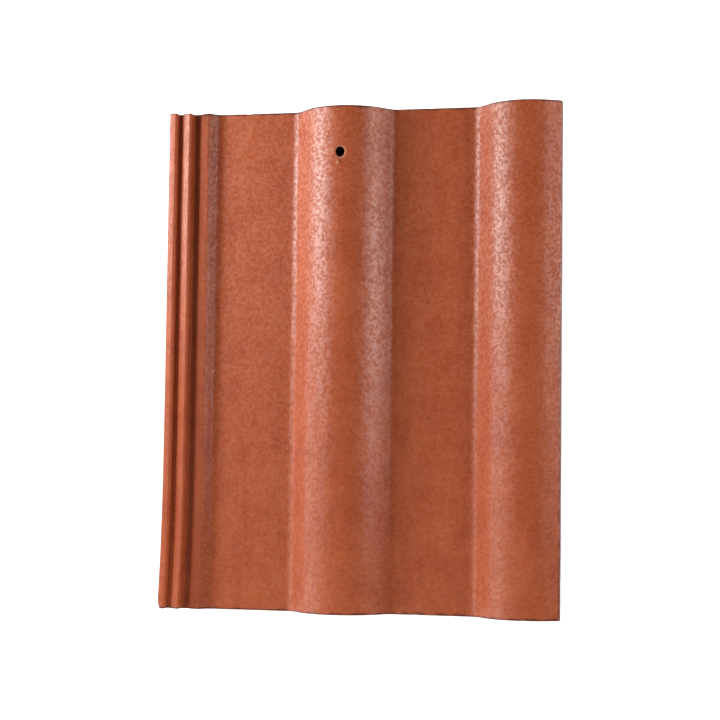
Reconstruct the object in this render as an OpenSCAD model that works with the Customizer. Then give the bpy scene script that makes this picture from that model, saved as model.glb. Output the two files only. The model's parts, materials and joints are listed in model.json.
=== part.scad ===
// Interlocking two-roll roof tile: one fired piece with the same section all along its length.
// X runs across the tile, Y from the tail up to the head, and Z up through the rolls.
// The origin is in the middle of the footprint, level with the foot of the hanging nibs.

/* [Body] */
// Length from the tail edge to the head edge
tile_length = 420; // [380:1:460]
// Thickness of the pans and the full roll, measured straight down so that courses nest
body_thickness = 12; // [10:0.5:15]
// Width of the flat pan beside the underlock
first_pan_width = 68.5; // [55:0.5:80]
// Width of the flat pan between the two rolls
second_pan_width = 70.5; // [55:0.5:80]

/* [Rolls] */
// Width of a roll from foot to foot
roll_width = 83.5; // [78:0.5:94]
// Height of a roll's crest above the pans
roll_height = 25; // [22:0.5:29]
// Slope of a roll's flanks
roll_flank_angle = 47; // [42:1:52]
// Radius where a flank runs into a pan
roll_foot_radius = 10; // [4:0.5:12]

/* [Underlock] */
// Width on top of the outer rib
outer_rib_width = 7; // [4.5:0.5:8]
// Height of the outer rib above the pans
outer_rib_height = 13; // [11:0.5:14.5]
// Drop of the outer rib's top towards the outer edge
outer_rib_drop = 1.4; // [0:0.2:4]
// Width of the outer groove between its two ribs
outer_groove_width = 3.6; // [3.4:0.2:9]
// Width of the outer groove's floor
outer_groove_floor = 2; // [1.6:0.2:3.6]
// Height of the outer groove's floor above the pans
outer_groove_level = 5; // [3:0.5:7]
// Width on top of the middle rib
middle_rib_width = 8.2; // [4.6:0.2:9]
// Height of the middle rib above the pans
middle_rib_height = 11.5; // [9.5:0.5:12.5]
// Drop of the middle rib's top towards the outer edge
middle_rib_drop = 3.4; // [0:0.2:4.4]
// Width of the inner groove between its two ribs
inner_groove_width = 7.6; // [7:0.2:13]
// Width of the inner groove's floor
inner_groove_floor = 4.4; // [4.2:0.2:6]
// Height of the inner groove's floor above the pans
inner_groove_level = 3.5; // [2:0.5:5]
// Width on top of the inner rib
inner_rib_width = 7.6; // [2.6:0.2:9]
// Height of the inner rib above the pans
inner_rib_height = 8.5; // [7:0.5:9.5]
// Drop of the inner rib's top towards the outer edge
inner_rib_drop = 3.4; // [0:0.2:4]
// Run of the inner rib's slope down to the pan
inner_rib_run = 7.5; // [7:0.5:12]
// Radius on the ribs' upper edges
rib_radius = 1.8; // [1:0.2:2.2]
// Radius in the grooves' lower corners
groove_radius = 0.8; // [0.4:0.1:1]
// Rise of the underlock's underside above the underside of the pans
underlock_rise = 6; // [3:0.5:7]

/* [Overlock] */
// Reach of the neighbour's outer edge past the crest of the overlock roll
underlock_tuck = 6.75; // [3:0.05:7]
// Reach of the overlock's edge past the top of the neighbour's inner rib
lip_reach = 2; // [1.6:0.1:5]
// Slope of the overlock roll's outer flank
overlock_flank_angle = 26; // [22:1:30]
// Radius at the inner top of the overlock's hollow
hollow_radius = 20; // [10:1:24]
// Gap above the neighbour's ribs and grooves
lap_clearance = 1.5; // [1:0.1:2.5]
// Gap beside the rib that stands in the neighbour's inner groove
side_clearance = 1.2; // [0.8:0.1:1.4]
// Radius on the overlock's upper outer edge
edge_radius = 2.5; // [1:0.5:3]
// Radius on the overlock's lip and downstand
lip_radius = 1; // [0.4:0.1:1.2]

/* [Nail hole] */
// Diameter of the nail hole
nail_hole_diameter = 8; // [5:0.5:10]
// Distance of the nail hole from the head edge
nail_hole_setback = 38.5; // [25:0.5:60]
// Offset of the nail hole from the crest of the full roll
nail_hole_offset = 0.5; // [-8:0.5:8]

/* [Hanging nibs] */
// Width of a nib across the tile
nib_width = 36; // [24:1:48]
// Length of a nib at its root
nib_length = 28; // [24:1:40]
// Height of a nib below the pans' underside
nib_height = 14; // [10:0.5:18]
// Distance of a nib from the head edge
nib_setback = 12; // [5:1:40]
// Slope of a nib's back, away from the batten, from the upright
nib_back_angle = 35; // [20:1:40]
// Radius on a nib's lower edges
nib_radius = 3; // [1:0.5:4]

/* [Weather bars] */
// Number of bars across the underside at the tail
bar_count = 2; // [1:1:4]
// Width of a bar along the tile
bar_width = 8; // [5:0.5:12]
// Height of a bar below the underside
bar_height = 4; // [2:0.5:6]
// Distance of the first bar from the tail edge
bar_setback = 14; // [6:1:40]
// Spacing of the bars, middle to middle
bar_spacing = 24; // [14:1:40]
// Distance of a bar's ends from the underlock and the overlock
bar_end_gap = 4; // [2:0.5:12]

/* [Hidden] */

// Largest distance between a rounded corner and the straight stretches that form it
arc_tolerance = 0.02;
// Spare length of a cut beyond the surfaces that it opens
cut_margin = 1;
// Number of sides of the nail hole
hole_sides = 64;

// Places across the section, measured from the outer edge of the underlock
outer_groove_start = outer_rib_width;
middle_rib_start = outer_groove_start + outer_groove_width;
inner_groove_start = middle_rib_start + middle_rib_width;
inner_rib_start = inner_groove_start + inner_groove_width;
inner_rib_end = inner_rib_start + inner_rib_width;
underlock_width = inner_rib_end + inner_rib_run;
outer_floor_start = outer_groove_start + (outer_groove_width - outer_groove_floor) / 2;
outer_floor_end = outer_floor_start + outer_groove_floor;
inner_floor_start = inner_groove_start + (inner_groove_width - inner_groove_floor) / 2;
inner_floor_end = inner_floor_start + inner_groove_floor;
roll_start = underlock_width + first_pan_width;
roll_crest = roll_start + roll_width / 2;
roll_end = roll_start + roll_width;
overlock_start = roll_end + second_pan_width;
overlock_crest = overlock_start + roll_width / 2;
// Width that each tile covers, which is where the neighbour's outer edge lies
cover_width = overlock_crest - underlock_tuck;
tile_width = cover_width + inner_rib_end + lip_reach;

// Crest of a roll: the flanks would meet in a point, and this radius brings it down to the height
roll_point = roll_width / 2 * tan(roll_flank_angle);
crest_radius = (roll_point - roll_height) / (1 / cos(roll_flank_angle) - 1);
crest_centre = roll_height - crest_radius;

// The overlock's two flanks touch the same crest circle and would meet in this point
overlock_lean = (overlock_flank_angle - roll_flank_angle) / 2;
overlock_reach = crest_radius / cos((overlock_flank_angle + roll_flank_angle) / 2);
overlock_point = [overlock_crest + overlock_reach * sin(overlock_lean),
                  crest_centre + overlock_reach * cos(overlock_lean)];
overlock_edge_height = overlock_point.y
                       - (tile_width - overlock_point.x) * tan(overlock_flank_angle);

// Hollow under the overlock, which follows the neighbour's ribs at the clearances
hollow_height = outer_rib_height + lap_clearance;
hollow_start = overlock_start + (body_thickness + hollow_height) / tan(roll_flank_angle);
inner_rib_slope = inner_rib_height / inner_rib_run;
lip_height = inner_rib_height + lap_clearance - lip_reach * inner_rib_slope;

// Height of the pans' upper face above the foot of the nibs
pan_level = nib_height + body_thickness;

function unit(v) = v / norm(v);
function shortest_turn(angle) = angle > 180 ? angle - 360 : angle < -180 ? angle + 360 : angle;

// Arc of radius r in the corner b between its neighbours a and c
function corner_arc(a, b, c, r) =
    let (to_a = unit(a - b),
         to_c = unit(c - b),
         half_angle = acos(to_a * to_c) / 2,
         centre = b + unit(to_a + to_c) * r / sin(half_angle),
         first = b + to_a * r / tan(half_angle) - centre,
         last = b + to_c * r / tan(half_angle) - centre,
         start_angle = atan2(first.y, first.x),
         turn = shortest_turn(atan2(last.y, last.x) - start_angle),
         largest_step = 2 * acos(1 - arc_tolerance / r),
         steps = max(3, ceil(abs(turn) / largest_step)))
    [for (i = [0 : steps])
        let (angle = start_angle + turn * i / steps)
        centre + r * [cos(angle), sin(angle)]];

// Closed outline through corners [x, height, radius], with each corner rounded
function rounded_outline(corners) =
    let (n = len(corners))
    [for (i = [0 : n - 1])
        let (a = corners[(i + n - 1) % n],
             b = corners[i],
             c = corners[(i + 1) % n])
        each b[2] > 0
            ? corner_arc([a.x, a.y], [b.x, b.y], [c.x, c.y], b[2])
            : [[b.x, b.y]]];

// Corners of the full roll with its two feet, lowered by a drop
function roll_corners(drop) = [
    [roll_start, -drop, roll_foot_radius],
    [roll_crest, roll_point - drop, crest_radius],
    [roll_end, -drop, roll_foot_radius]];

function reversed(list) = [for (i = [len(list) - 1 : -1 : 0]) list[i]];

// Upper side of the underlock: three ribs, two grooves and the slope to the pan
function underlock_corners() = [
    [0, underlock_rise - body_thickness, lip_radius],
    [0, outer_rib_height - outer_rib_drop, rib_radius],
    [outer_groove_start, outer_rib_height, rib_radius],
    [outer_floor_start, outer_groove_level, groove_radius],
    [outer_floor_end, outer_groove_level, groove_radius],
    [middle_rib_start, middle_rib_height - middle_rib_drop, rib_radius],
    [inner_groove_start, middle_rib_height, rib_radius],
    [inner_floor_start, inner_groove_level, groove_radius],
    [inner_floor_end, inner_groove_level, groove_radius],
    [inner_rib_start, inner_rib_height - inner_rib_drop, rib_radius],
    [inner_rib_end, inner_rib_height, rib_radius],
    [underlock_width, 0, roll_foot_radius]];

// Overlock roll: its upper side, its outer edge, and the hollow over the neighbour's underlock
function overlock_corners() = [
    [overlock_start, 0, roll_foot_radius],
    [overlock_point.x, overlock_point.y, crest_radius],
    [tile_width, overlock_edge_height, edge_radius],
    [tile_width, lip_height, lip_radius],
    [cover_width + inner_rib_end, inner_rib_height + lap_clearance, rib_radius],
    [cover_width + inner_rib_start - side_clearance, inner_rib_height + lap_clearance, lip_radius],
    [cover_width + inner_floor_end - side_clearance, inner_groove_level + lap_clearance, lip_radius],
    [cover_width + inner_floor_start + side_clearance, inner_groove_level + lap_clearance, lip_radius],
    [cover_width + inner_groove_start + side_clearance, middle_rib_height + lap_clearance, lip_radius],
    [cover_width + outer_rib_width, hollow_height, rib_radius],
    [hollow_start, hollow_height, hollow_radius],
    [overlock_start, -body_thickness, roll_foot_radius]];

// Underside of the underlock, stepped up from the pans
function underlock_base_corners() = [
    [underlock_width, -body_thickness, lip_radius],
    [underlock_width - underlock_rise, underlock_rise - body_thickness, lip_radius]];

function section_corners() = concat(
    underlock_corners(),
    roll_corners(0),
    overlock_corners(),
    reversed(roll_corners(body_thickness)),
    underlock_base_corners());

// A bar's section reaches from inside the body to its height below the underside
function bar_corners() =
    let (start = underlock_width + bar_end_gap,
         end = overlock_start - bar_end_gap,
         root = body_thickness / 2,
         foot = body_thickness + bar_height)
    concat(
        [[start, -foot, 0], [start, -root, 0]],
        roll_corners(root),
        [[end, -root, 0], [end, -foot, 0]],
        reversed(roll_corners(foot)));

// A length of a section that stands upright across the tile, from y for a length
module length_of_section(corners, y, length) {
    translate([-tile_width / 2, y + length, pan_level])
        rotate([90, 0, 0])
            linear_extrude(height = length)
                polygon(rounded_outline(corners));
}

// Hanging nib under a pan, with an upright face towards the tail that bears on the batten
module nib(middle) {
    face = tile_length / 2 - nib_setback - nib_length;
    back = tile_length / 2 - nib_setback;
    root = nib_height + body_thickness / 2;
    translate([middle - tile_width / 2 - nib_width / 2, 0, 0])
        rotate([90, 0, 90])
            linear_extrude(height = nib_width)
                polygon(rounded_outline([
                    [face, root, 0],
                    [face, 0, nib_radius],
                    [back - nib_height * tan(nib_back_angle), 0, nib_radius],
                    [back, nib_height, 0],
                    [back, root, 0]]));
}

module nail_hole() {
    translate([roll_crest + nail_hole_offset - tile_width / 2, tile_length / 2 - nail_hole_setback, 0])
        cylinder(h = pan_level + roll_height + cut_margin, d = nail_hole_diameter, $fn = hole_sides);
}

module roof_tile() {
    color("#b25a3c")
        difference() {
            union() {
                length_of_section(section_corners(), -tile_length / 2, tile_length);
                for (i = [0 : bar_count - 1])
                    length_of_section(bar_corners(),
                                      -tile_length / 2 + bar_setback + i * bar_spacing - bar_width / 2,
                                      bar_width);
                nib(underlock_width + first_pan_width / 2);
                nib(roll_end + second_pan_width / 2);
            }
            nail_hole();
        }
}

roof_tile();
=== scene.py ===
"""Dresses the interlocking roof tile.

The clay body is swept along its length from the frame's own section, with a gentle relief and worn ends.
Its nibs, weather bars and nail hole join it in one closed mesh with six clay finishes; two of them paint
shade, darker in the inner groove and near-black on the nail hole's wall.
"""

import json
import logging
import math
from dataclasses import dataclass, replace
from enum import Enum
from typing import Any, Mapping, Optional, Sequence, Union

import bmesh
import bpy
import numpy as np
from mathutils import Matrix, Vector

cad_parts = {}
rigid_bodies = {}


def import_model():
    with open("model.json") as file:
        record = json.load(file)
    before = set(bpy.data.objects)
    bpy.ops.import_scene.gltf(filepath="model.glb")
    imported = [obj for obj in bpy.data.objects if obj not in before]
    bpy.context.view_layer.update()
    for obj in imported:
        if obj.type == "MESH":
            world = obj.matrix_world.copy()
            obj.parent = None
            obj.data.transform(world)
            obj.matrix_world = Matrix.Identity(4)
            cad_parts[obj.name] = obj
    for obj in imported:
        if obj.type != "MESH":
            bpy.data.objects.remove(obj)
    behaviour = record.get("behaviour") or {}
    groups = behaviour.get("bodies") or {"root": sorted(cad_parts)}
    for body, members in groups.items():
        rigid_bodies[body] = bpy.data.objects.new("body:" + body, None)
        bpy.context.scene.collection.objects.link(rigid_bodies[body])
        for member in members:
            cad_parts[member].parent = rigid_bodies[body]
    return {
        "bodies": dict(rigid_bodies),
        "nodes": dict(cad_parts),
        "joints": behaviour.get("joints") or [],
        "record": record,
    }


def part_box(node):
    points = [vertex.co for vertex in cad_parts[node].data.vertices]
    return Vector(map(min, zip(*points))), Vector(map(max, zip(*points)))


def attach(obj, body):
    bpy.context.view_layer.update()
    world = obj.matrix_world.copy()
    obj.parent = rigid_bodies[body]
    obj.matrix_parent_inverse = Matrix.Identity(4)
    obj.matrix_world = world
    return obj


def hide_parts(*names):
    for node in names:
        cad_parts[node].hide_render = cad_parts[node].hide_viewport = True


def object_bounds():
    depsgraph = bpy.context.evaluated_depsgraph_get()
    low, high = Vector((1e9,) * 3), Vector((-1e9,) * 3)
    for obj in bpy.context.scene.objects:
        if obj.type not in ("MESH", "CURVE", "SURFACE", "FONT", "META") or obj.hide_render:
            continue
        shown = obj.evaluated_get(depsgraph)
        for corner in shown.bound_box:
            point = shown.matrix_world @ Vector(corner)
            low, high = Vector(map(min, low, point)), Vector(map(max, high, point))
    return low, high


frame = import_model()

LOG = logging.getLogger("roof_tile")
CAD_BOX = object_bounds()
NODE_NAME = "roof_tile"
BODY_NAME = "root"
MM_PER_METRE = 1000

# Attributes that the section carries into the swept body
OUTWARD = "outward"
WEATHER = "weather"
# Marks the inner groove and the rib beside it, whose clay is painted darker as painted shade
LAP = "lap"
RIBS = "ribs"

# Attribute that marks the broken places of the swept body
CHIP = "chip"

Colour = tuple[float, float, float]
Place = tuple[float, float, float]
Range = tuple[float, float]
Socket = bpy.types.NodeSocket
Operand = Union[Socket, float, Sequence[float]]

# Range that holds most of the cloudy noise, and the level in its middle
CLOUDS: Range = (0.3, 0.7)
MEAN_LEVEL = 0.5

WHITE: Colour = (1.0, 1.0, 1.0)


class SocketKind(Enum):
    """Types of the sockets on the edge of a tree."""

    GEOMETRY = "NodeSocketGeometry"
    FLOAT = "NodeSocketFloat"
    INTEGER = "NodeSocketInt"
    VECTOR = "NodeSocketVector"
    OBJECT = "NodeSocketObject"
    MATERIAL = "NodeSocketMaterial"


class TreeKind(Enum):
    """Types of the node trees that are written here."""

    GEOMETRY = "GeometryNodeTree"
    SHADER = "ShaderNodeTree"


class Seed(Enum):
    """Numbers that pick the noises, so that no two of them are alike."""

    GRAIN = 3.0
    PEEL = 4.0
    RELIEF = 7.0
    STREAKS = 11.0
    CHIPS = 12.0
    PATCHES = 17.0
    RAGGED = 23.0


class TreeWriter:
    """Adds nodes to one node tree and joins their sockets."""

    def __init__(self, tree: bpy.types.NodeTree) -> None:
        """Takes the tree that is written."""
        self.tree = tree

    def add(
        self, kind: str, inputs: Optional[Mapping[Union[str, int], Any]] = None, **settings: Any
    ) -> bpy.types.Node:
        """Adds a node.

        Args:
            kind: Blender's type name of the node.
            inputs: value or socket for each input that is set, by its name or number.
            settings: properties of the node.

        Returns:
            The new node.
        """
        node = self.tree.nodes.new(kind)
        for name, value in settings.items():
            setattr(node, name, value)
        for key, value in (inputs or {}).items():
            self.feed(node.inputs[key], value)
        return node

    def feed(self, socket: Socket, value: Any) -> None:
        """Links a socket into an input, or sets the input's own value.

        Args:
            socket: input socket.
            value: output socket, or the value.
        """
        if isinstance(value, Socket):
            self.tree.links.new(value, socket)
        elif socket.type == "RGBA" and len(value) == 3:
            socket.default_value = (*value, 1.0)
        else:
            socket.default_value = value

    def math(self, operation: str, first: Operand, second: Operand = 0.0, clamp: bool = False) -> Socket:
        """Works out one or two numbers.

        Args:
            operation: Blender's name of the operation.
            first: first number.
            second: second number, where the operation has one.
            clamp: keeps the result between 0 and 1.

        Returns:
            Socket of the result.
        """
        node = self.add("ShaderNodeMath", {0: first, 1: second}, operation=operation, use_clamp=clamp)
        return node.outputs[0]

    def vector(self, operation: str, first: Operand, second: Operand = (0.0, 0.0, 0.0)) -> Socket:
        """Works out one or two vectors, or a vector and a scale.

        Args:
            operation: Blender's name of the operation.
            first: first vector.
            second: second vector where the operation has one, or the number for SCALE.

        Returns:
            Socket of the result.
        """
        node = self.add("ShaderNodeVectorMath", {0: first}, operation=operation)
        self.feed(node.inputs["Scale" if operation == "SCALE" else 1], second)
        return node.outputs["Value" if operation == "LENGTH" else "Vector"]

    def join(self, x: Operand, y: Operand, z: Operand) -> Socket:
        """Joins three numbers into a vector."""
        return self.add("ShaderNodeCombineXYZ", {0: x, 1: y, 2: z}).outputs[0]

    def split(self, vector: Operand) -> tuple[Socket, Socket, Socket]:
        """Splits a vector into its three numbers."""
        outputs = self.add("ShaderNodeSeparateXYZ", {0: vector}).outputs
        return outputs[0], outputs[1], outputs[2]

    def ease(
        self, value: Operand, low: Operand, high: Operand, to_low: Operand = 0.0, to_high: Operand = 1.0
    ) -> Socket:
        """Eases a number from one range into another, held at both ends.

        Args:
            value: number that varies.
            low: value at which the result is to_low.
            high: value at which the result is to_high.
            to_low: first end of the result.
            to_high: last end of the result.

        Returns:
            Socket of the result.
        """
        inputs = {0: value, 1: low, 2: high, 3: to_low, 4: to_high}
        return self.add("ShaderNodeMapRange", inputs, interpolation_type="SMOOTHSTEP").outputs[0]

    def noise(self, vector: Operand, seed: Operand, detail: float = 2.0, roughness: float = 0.5) -> Socket:
        """Makes cloudy noise whose clouds are about one unit across.

        Args:
            vector: place in the noise.
            seed: picks one of the noises.
            detail: number of finer layers.
            roughness: strength of the finer layers.

        Returns:
            Socket of the noise, mostly from 0.3 to 0.7.
        """
        inputs = {"Vector": vector, "W": seed, "Scale": 1.0, "Detail": detail, "Roughness": roughness}
        return self.add("ShaderNodeTexNoise", inputs, noise_dimensions="4D").outputs[0]

    def blend(self, factor: Operand, first: Operand, second: Operand, mode: str = "MIX") -> Socket:
        """Blends two colours.

        Args:
            factor: share of the second colour.
            first: colour below.
            second: colour above.
            mode: Blender's name of the blend.

        Returns:
            Socket of the colour.
        """
        node = self.add("ShaderNodeMix", data_type="RGBA", blend_type=mode)
        for number, value in ((0, factor), (6, first), (7, second)):
            self.feed(node.inputs[number], value)
        return node.outputs[2]

    def attribute(self, name: str, data_type: str = "FLOAT") -> Socket:
        """Reads a named attribute in a geometry tree."""
        return self.add("GeometryNodeInputNamedAttribute", {"Name": name}, data_type=data_type).outputs[0]


def new_tree(
    name: str,
    kind: TreeKind,
    inputs: Mapping[str, SocketKind],
    outputs: Mapping[str, SocketKind],
) -> tuple[TreeWriter, Any, Any]:
    """Makes a node tree with named inputs and outputs.

    Args:
        name: name of the tree.
        kind: geometry or shader tree.
        inputs: name and type of each input.
        outputs: name and type of each output.

    Returns:
        Writer of the tree, sockets of its inputs by name, and the inputs of its output node by name.
    """
    tree = bpy.data.node_groups.new(name, kind.value)
    for side, sockets in (("INPUT", inputs), ("OUTPUT", outputs)):
        for label, socket in sockets.items():
            tree.interface.new_socket(label, in_out=side, socket_type=socket.value)
    writer = TreeWriter(tree)
    return writer, writer.add("NodeGroupInput").outputs, writer.add("NodeGroupOutput").inputs


def number_kinds(sizes: Mapping[str, Union[int, float]]) -> dict[str, SocketKind]:
    """Names the socket type of each size."""
    return {name: SocketKind.INTEGER if isinstance(v, int) else SocketKind.FLOAT for name, v in sizes.items()}


def add_modifier(obj: bpy.types.Object, tree: bpy.types.NodeTree, values: Mapping[str, Any]) -> None:
    """Puts a geometry tree on an object.

    Args:
        obj: object that gets the modifier.
        tree: geometry tree.
        values: value of each of the tree's inputs, by name.
    """
    modifier = obj.modifiers.new(tree.name, "NODES")
    modifier.node_group = tree
    for item in tree.interface.items_tree:
        if item.in_out == "INPUT" and item.name in values:
            modifier[item.identifier] = values[item.name]


def end_tree(writer: TreeWriter, geometry: Socket, material: Socket, output: Socket) -> None:
    """Ends a geometry tree with real geometry in one material.

    Args:
        writer: writer of the tree.
        geometry: socket of what the tree made.
        material: socket of the material.
        output: input socket of the tree's output.
    """
    real = writer.add("GeometryNodeRealizeInstances", {0: geometry}).outputs[0]
    painted = writer.add("GeometryNodeSetMaterial", {"Geometry": real, "Material": material})
    writer.feed(output, painted.outputs[0])


def new_object(name: str, points: np.ndarray, edges: Sequence[Sequence[int]]) -> bpy.types.Object:
    """Makes an object from points and edges, in the scene.

    Args:
        name: name of the object.
        points: places of the points, in metres.
        edges: pairs of point numbers.

    Returns:
        The new object.
    """
    mesh = bpy.data.meshes.new(name)
    mesh.from_pydata([tuple(p) for p in points], edges, [])
    obj = bpy.data.objects.new(name, mesh)
    bpy.context.scene.collection.objects.link(obj)
    return obj


def make_plain(obj: bpy.types.Object) -> None:
    """Turns an object's evaluated modifiers into its own plain mesh.

    Args:
        obj: object with modifiers, which loses them.
    """
    graph = bpy.context.evaluated_depsgraph_get()
    shaped = obj.evaluated_get(graph)
    mesh = bpy.data.meshes.new_from_object(shaped, preserve_all_data_layers=True, depsgraph=graph)
    obj.modifiers.clear()
    obj.data = mesh
    mesh.name = obj.name
    for number in reversed(range(len(mesh.materials))):
        if mesh.materials[number] is None:
            mesh.materials.pop(index=number)


def srgb(red: int, green: int, blue: int) -> Colour:
    """Turns a colour as a screen shows it into the linear colour that Blender takes.

    Args:
        red: level of red, from 0 to 255.
        green: level of green.
        blue: level of blue.

    Returns:
        The linear colour.
    """

    def linear(level: int) -> float:
        """Turns one level into its linear value."""
        share = level / 255
        return share / 12.92 if share <= 0.04045 else ((share + 0.055) / 1.055) ** 2.4

    return linear(red), linear(green), linear(blue)


@dataclass(frozen=True)
class Speckle:
    """Sparse round spots in the clay.

    Attributes:
        cell: size of the cells that hold one spot at most, in metres.
        empty_share: share of the cells that hold no spot.
        reach: radius of the largest spot, in cells.
    """

    cell: float
    empty_share: float
    reach: float


@dataclass
class SurfaceEffects:
    """Shader node groups that the clay finishes share."""

    grain: bpy.types.NodeTree
    mottle: bpy.types.NodeTree
    wear_and_shade: bpy.types.NodeTree

    @classmethod
    def build(cls) -> "SurfaceEffects":
        """Makes the groups."""
        return cls(cls.sandy_grain(), cls.kiln_mottle(), cls.worn_edges())

    @staticmethod
    def sandy_grain() -> bpy.types.NodeTree:
        """Makes the sand in the clay: single grains, a fine waviness, a coarser peel, pits and flecks.

        Returns:
            The node group.
        """
        sizes = ("Sand Size", "Grain Size", "Peel Size", "Half Length", "Tail Share")
        writer, inputs, outputs = new_tree(
            "sandy_grain",
            TreeKind.SHADER,
            {"Vector": SocketKind.VECTOR, **dict.fromkeys(sizes, SocketKind.FLOAT)},
            dict.fromkeys(("Sand", "Grain", "Peel", "Pits", "Flecks"), SocketKind.FLOAT),
        )
        place = inputs["Vector"]
        finest = writer.math("DIVIDE", 1.0, inputs["Sand Size"])
        cells = writer.add("ShaderNodeTexVoronoi", {"Vector": place, "Scale": finest})
        swing = writer.math("SUBTRACT", writer.split(cells.outputs["Color"])[0], MEAN_LEVEL)
        tail, full_strength_from = -1.0, 0.8
        to_head = writer.math("DIVIDE", writer.split(place)[1], inputs["Half Length"])
        strength = writer.ease(to_head, tail, full_strength_from, inputs["Tail Share"], 1.0)
        sand = writer.math("ADD", writer.math("MULTIPLY", swing, strength), MEAN_LEVEL)
        writer.feed(outputs["Sand"], sand)
        for label, seed in (("Grain", Seed.GRAIN), ("Peel", Seed.PEEL)):
            finer = writer.math("DIVIDE", 1.0, inputs[label + " Size"])
            clouds = writer.noise(writer.vector("SCALE", place, finer), seed.value, detail=1.0)
            writer.feed(outputs[label], clouds)
        speckles = {
            "Pits": Speckle(cell=0.0095, empty_share=0.80, reach=0.16),
            "Flecks": Speckle(cell=0.0062, empty_share=0.78, reach=0.17),
        }
        for label, speckle in speckles.items():
            spots = writer.add("ShaderNodeTexVoronoi", {"Vector": place, "Scale": 1 / speckle.cell})
            pick, size, _ = writer.split(spots.outputs["Color"])
            radius = writer.math("MULTIPLY", size, speckle.reach)
            near = writer.ease(spots.outputs["Distance"], 0.0, radius, 1.0, 0.0)
            filled = writer.math("GREATER_THAN", pick, speckle.empty_share)
            writer.feed(outputs[label], writer.math("MULTIPLY", near, filled))
        return writer.tree

    @staticmethod
    def kiln_mottle() -> bpy.types.NodeTree:
        """Makes the uneven firing colour: streaks along the tile and soft patches.

        Returns:
            The node group.
        """
        sizes = ("Streak Width", "Streak Length")
        writer, inputs, outputs = new_tree(
            "kiln_mottle",
            TreeKind.SHADER,
            {"Vector": SocketKind.VECTOR, **dict.fromkeys(sizes, SocketKind.FLOAT)},
            {"Streaks": SocketKind.FLOAT, "Patches": SocketKind.FLOAT},
        )
        across = writer.math("DIVIDE", 1.0, inputs["Streak Width"])
        along = writer.math("DIVIDE", 1.0, inputs["Streak Length"])
        stretched = writer.vector("MULTIPLY", inputs["Vector"], writer.join(across, along, across))
        streaks = writer.noise(stretched, Seed.STREAKS.value, detail=3.0, roughness=0.55)
        writer.feed(outputs["Streaks"], writer.ease(streaks, *CLOUDS))
        patches = writer.noise(writer.vector("SCALE", inputs["Vector"], along), Seed.PATCHES.value)
        writer.feed(outputs["Patches"], writer.ease(patches, *CLOUDS))
        return writer.tree

    @staticmethod
    def worn_edges() -> bpy.types.NodeTree:
        """Makes the ragged dark band along the head, the tail and the right edge: partly wear and partly
        painted shade at the ends, painted shade of the side face along the right edge.

        Returns:
            The node group.
        """
        sizes = ("Half Length", "Half Width", "Reach", "Side Share")
        writer, inputs, outputs = new_tree(
            "worn_edges",
            TreeKind.SHADER,
            {"Vector": SocketKind.VECTOR, **dict.fromkeys(sizes, SocketKind.FLOAT)},
            {"Wear": SocketKind.FLOAT},
        )
        tears_per_metre = 110.0
        tear_levels, tear_reach = (0.35, 0.68), (0.7, 1.9)
        x, y, _ = writer.split(inputs["Vector"])
        to_end = writer.math("SUBTRACT", inputs["Half Length"], writer.math("ABSOLUTE", y))
        to_side = writer.math("SUBTRACT", inputs["Half Width"], x)
        finer = writer.vector("SCALE", inputs["Vector"], tears_per_metre)
        ragged = writer.noise(finer, Seed.RAGGED.value, detail=3.0)
        reach = writer.math("MULTIPLY", inputs["Reach"], writer.ease(ragged, *tear_levels, *tear_reach))
        # Dark band: at the ends partly wear and partly painted shade of the arris, along the right edge
        # painted shade of the side face
        ends = writer.ease(to_end, 0.0, reach, 1.0, 0.0)
        side = writer.ease(to_side, 0.0, reach, inputs["Side Share"], 0.0)
        writer.feed(outputs["Wear"], writer.math("MAXIMUM", ends, side))
        return writer.tree


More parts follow.
